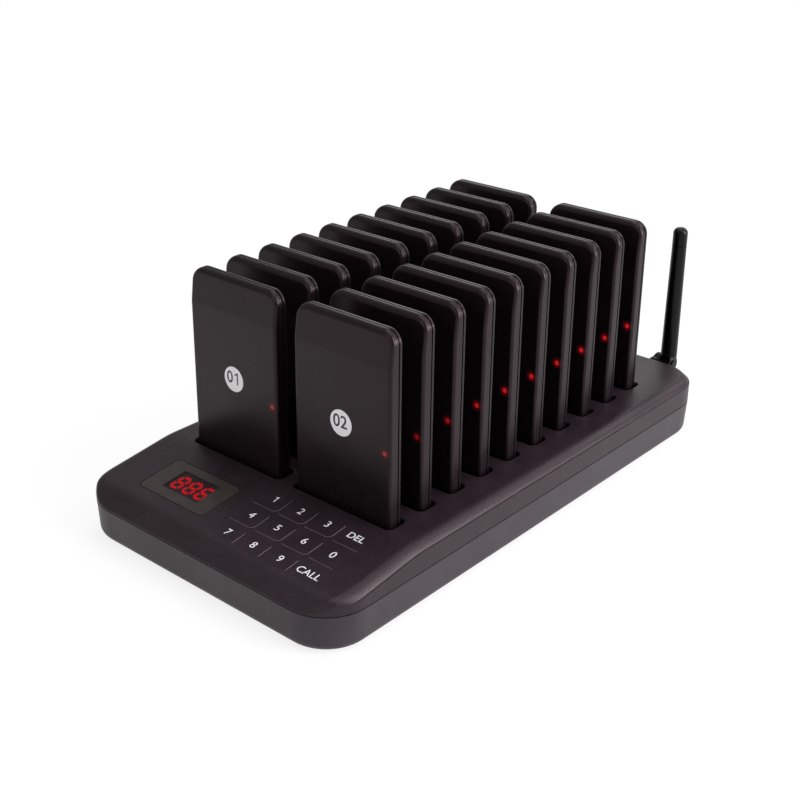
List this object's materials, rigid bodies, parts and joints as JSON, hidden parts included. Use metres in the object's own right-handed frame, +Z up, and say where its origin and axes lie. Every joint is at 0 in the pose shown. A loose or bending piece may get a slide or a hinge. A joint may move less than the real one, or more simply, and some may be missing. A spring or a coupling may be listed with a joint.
{
  "type": "guest pager system",
  "caption": "Flat counter-top base with a sloped touch panel and display window, rows of flat upright guest pagers standing in its slots, and a folding rod antenna at the back.",
  "frame": {"origin": "on the surface the feet stand on, at the centre of the set's outline with its antenna upright", "axes": "+Z up, +Y from the control panel towards the antenna, +X to the right seen from the panel"},
  "size_m": [0.1598, 0.3068, 0.1193],
  "materials": {
    "bottom_tray": "fine textured matte",
    "top_cover": "fine textured satin",
    "rubber_feet": "matte",
    "pocket_strip_left": "matte",
    "pocket_strip_right": "matte",
    "charging_board_left": "satin",
    "charging_board_right": "satin",
    "charging_contacts": "gilded",
    "strip_screws": "zinc plated",
    "case_screws": "zinc plated",
    "board_screws": "zinc plated",
    "main_board": "satin",
    "main_board_parts": "satin",
    "beeper": "gloss",
    "radio_module": "bright",
    "power_inlet": "matte",
    "flat_cables": "satin",
    "display_lens": "smoke, gloss",
    "display_module": "gloss",
    "display_board": "satin",
    "touch_board": "satin",
    "antenna_lead": "satin",
    "antenna_connector": "gilded",
    "connector_nut": "gilded",
    "antenna_swivel": "satin",
    "antenna_pin": "blackened",
    "antenna_whip": "satin",
    "antenna_cap": "satin",
    "pager_01_front_shell": "fine textured satin",
    "pager_01_back_shell": "fine textured satin",
    "pager_01_number_label": "satin",
    "pager_01_lamp": "clear red",
    "pager_01_circuit_board": "satin",
    "pager_01_battery": "foil",
    "pager_01_vibration_motor": "bright",
    "pager_01_sounder": "gloss",
    "pager_01_charging_pads": "gilded",
    "pager_01_screws": "blackened",
    "pager_02": "fine textured satin",
    "pager_03": "fine textured satin",
    "pager_04": "fine textured satin",
    "pager_05": "fine textured satin",
    "pager_06": "fine textured satin",
    "pager_07": "fine textured satin",
    "pager_08": "fine textured satin",
    "pager_09": "fine textured satin",
    "pager_10": "fine textured satin",
    "pager_11": "fine textured satin",
    "pager_12": "fine textured satin",
    "pager_13": "fine textured satin",
    "pager_14": "fine textured satin",
    "pager_15": "fine textured satin",
    "pager_16": "fine textured satin",
    "pager_17": "fine textured satin",
    "pager_18": "fine textured satin",
    "pager_19": "fine textured satin",
    "pager_20": "fine textured satin"
  },
  "bodies": {
    "base": {"bottom_tray": "bottom_tray", "top_cover": "top_cover", "rubber_feet": "rubber_feet", "pocket_strip_left": "pocket_strip_left", "pocket_strip_right": "pocket_strip_right", "charging_board_left": "charging_board_left", "charging_board_right": "charging_board_right", "charging_contacts": "charging_contacts", "strip_screws": "strip_screws", "case_screws": "case_screws", "board_screws": "board_screws", "main_board": "main_board", "main_board_parts": "main_board_parts", "beeper": "beeper", "radio_module": "radio_module", "power_inlet": "power_inlet", "flat_cables": "flat_cables", "display_lens": "display_lens", "display_module": "display_module", "display_board": "display_board", "touch_board": "touch_board", "antenna_lead": "antenna_lead", "antenna_connector": "antenna_connector", "connector_nut": "connector_nut"},
    "antenna_base": {"antenna_swivel": "antenna_swivel", "antenna_pin": "antenna_pin"},
    "antenna": {"antenna_whip": "antenna_whip", "antenna_cap": "antenna_cap"},
    "body_02": {"pager_02": "pager_02"},
    "body_03": {"pager_03": "pager_03"},
    "body_04": {"pager_04": "pager_04"},
    "body_05": {"pager_05": "pager_05"},
    "body_06": {"pager_06": "pager_06"},
    "body_07": {"pager_07": "pager_07"},
    "body_08": {"pager_08": "pager_08"},
    "body_09": {"pager_09": "pager_09"},
    "body_10": {"pager_10": "pager_10"},
    "body_11": {"pager_11": "pager_11"},
    "body_12": {"pager_12": "pager_12"},
    "body_13": {"pager_13": "pager_13"},
    "body_14": {"pager_14": "pager_14"},
    "body_15": {"pager_15": "pager_15"},
    "body_16": {"pager_16": "pager_16"},
    "body_17": {"pager_17": "pager_17"},
    "body_18": {"pager_18": "pager_18"},
    "body_19": {"pager_19": "pager_19"},
    "body_20": {"pager_20": "pager_20"},
    "body_01": {"pager_01_front_shell": "pager_01_front_shell", "pager_01_back_shell": "pager_01_back_shell", "pager_01_number_label": "pager_01_number_label", "pager_01_lamp": "pager_01_lamp", "pager_01_circuit_board": "pager_01_circuit_board", "pager_01_battery": "pager_01_battery", "pager_01_vibration_motor": "pager_01_vibration_motor", "pager_01_sounder": "pager_01_sounder", "pager_01_charging_pads": "pager_01_charging_pads", "pager_01_screws": "pager_01_screws"}
  },
  "joints": [
    {"name": "pager_01_lift", "type": "slide", "parent": "base", "child": "body_01", "axis": [0, 0, 1], "range_m": [0, 0.04]},
    {"name": "pager_02_lift", "type": "slide", "parent": "base", "child": "body_02", "axis": [0, 0, 1], "range_m": [0, 0.04]},
    {"name": "pager_03_lift", "type": "slide", "parent": "base", "child": "body_03", "axis": [0, 0, 1], "range_m": [0, 0.04]},
    {"name": "pager_04_lift", "type": "slide", "parent": "base", "child": "body_04", "axis": [0, 0, 1], "range_m": [0, 0.04]},
    {"name": "pager_05_lift", "type": "slide", "parent": "base", "child": "body_05", "axis": [0, 0, 1], "range_m": [0, 0.04]},
    {"name": "pager_06_lift", "type": "slide", "parent": "base", "child": "body_06", "axis": [0, 0, 1], "range_m": [0, 0.04]},
    {"name": "pager_07_lift", "type": "slide", "parent": "base", "child": "body_07", "axis": [0, 0, 1], "range_m": [0, 0.04]},
    {"name": "pager_08_lift", "type": "slide", "parent": "base", "child": "body_08", "axis": [0, 0, 1], "range_m": [0, 0.04]},
    {"name": "pager_09_lift", "type": "slide", "parent": "base", "child": "body_09", "axis": [0, 0, 1], "range_m": [0, 0.04]},
    {"name": "pager_10_lift", "type": "slide", "parent": "base", "child": "body_10", "axis": [0, 0, 1], "range_m": [0, 0.04]},
    {"name": "pager_11_lift", "type": "slide", "parent": "base", "child": "body_11", "axis": [0, 0, 1], "range_m": [0, 0.04]},
    {"name": "pager_12_lift", "type": "slide", "parent": "base", "child": "body_12", "axis": [0, 0, 1], "range_m": [0, 0.04]},
    {"name": "pager_13_lift", "type": "slide", "parent": "base", "child": "body_13", "axis": [0, 0, 1], "range_m": [0, 0.04]},
    {"name": "pager_14_lift", "type": "slide", "parent": "base", "child": "body_14", "axis": [0, 0, 1], "range_m": [0, 0.04]},
    {"name": "pager_15_lift", "type": "slide", "parent": "base", "child": "body_15", "axis": [0, 0, 1], "range_m": [0, 0.04]},
    {"name": "pager_16_lift", "type": "slide", "parent": "base", "child": "body_16", "axis": [0, 0, 1], "range_m": [0, 0.04]},
    {"name": "pager_17_lift", "type": "slide", "parent": "base", "child": "body_17", "axis": [0, 0, 1], "range_m": [0, 0.04]},
    {"name": "pager_18_lift", "type": "slide", "parent": "base", "child": "body_18", "axis": [0, 0, 1], "range_m": [0, 0.04]},
    {"name": "pager_19_lift", "type": "slide", "parent": "base", "child": "body_19", "axis": [0, 0, 1], "range_m": [0, 0.04]},
    {"name": "pager_20_lift", "type": "slide", "parent": "base", "child": "body_20", "axis": [0, 0, 1], "range_m": [0, 0.04]},
    {"name": "antenna_turn", "type": "hinge", "parent": "base", "child": "antenna_base", "pos_m": [0.0478, 0.1412, 0.024], "axis": [0, 1, 0], "range_deg": [-90, 90]},
    {"name": "antenna_fold", "type": "hinge", "parent": "antenna_base", "child": "antenna", "pos_m": [0.052, 0.1488, 0.024], "axis": [-1, 0, 0], "range_deg": [0, 90]}
  ]
}
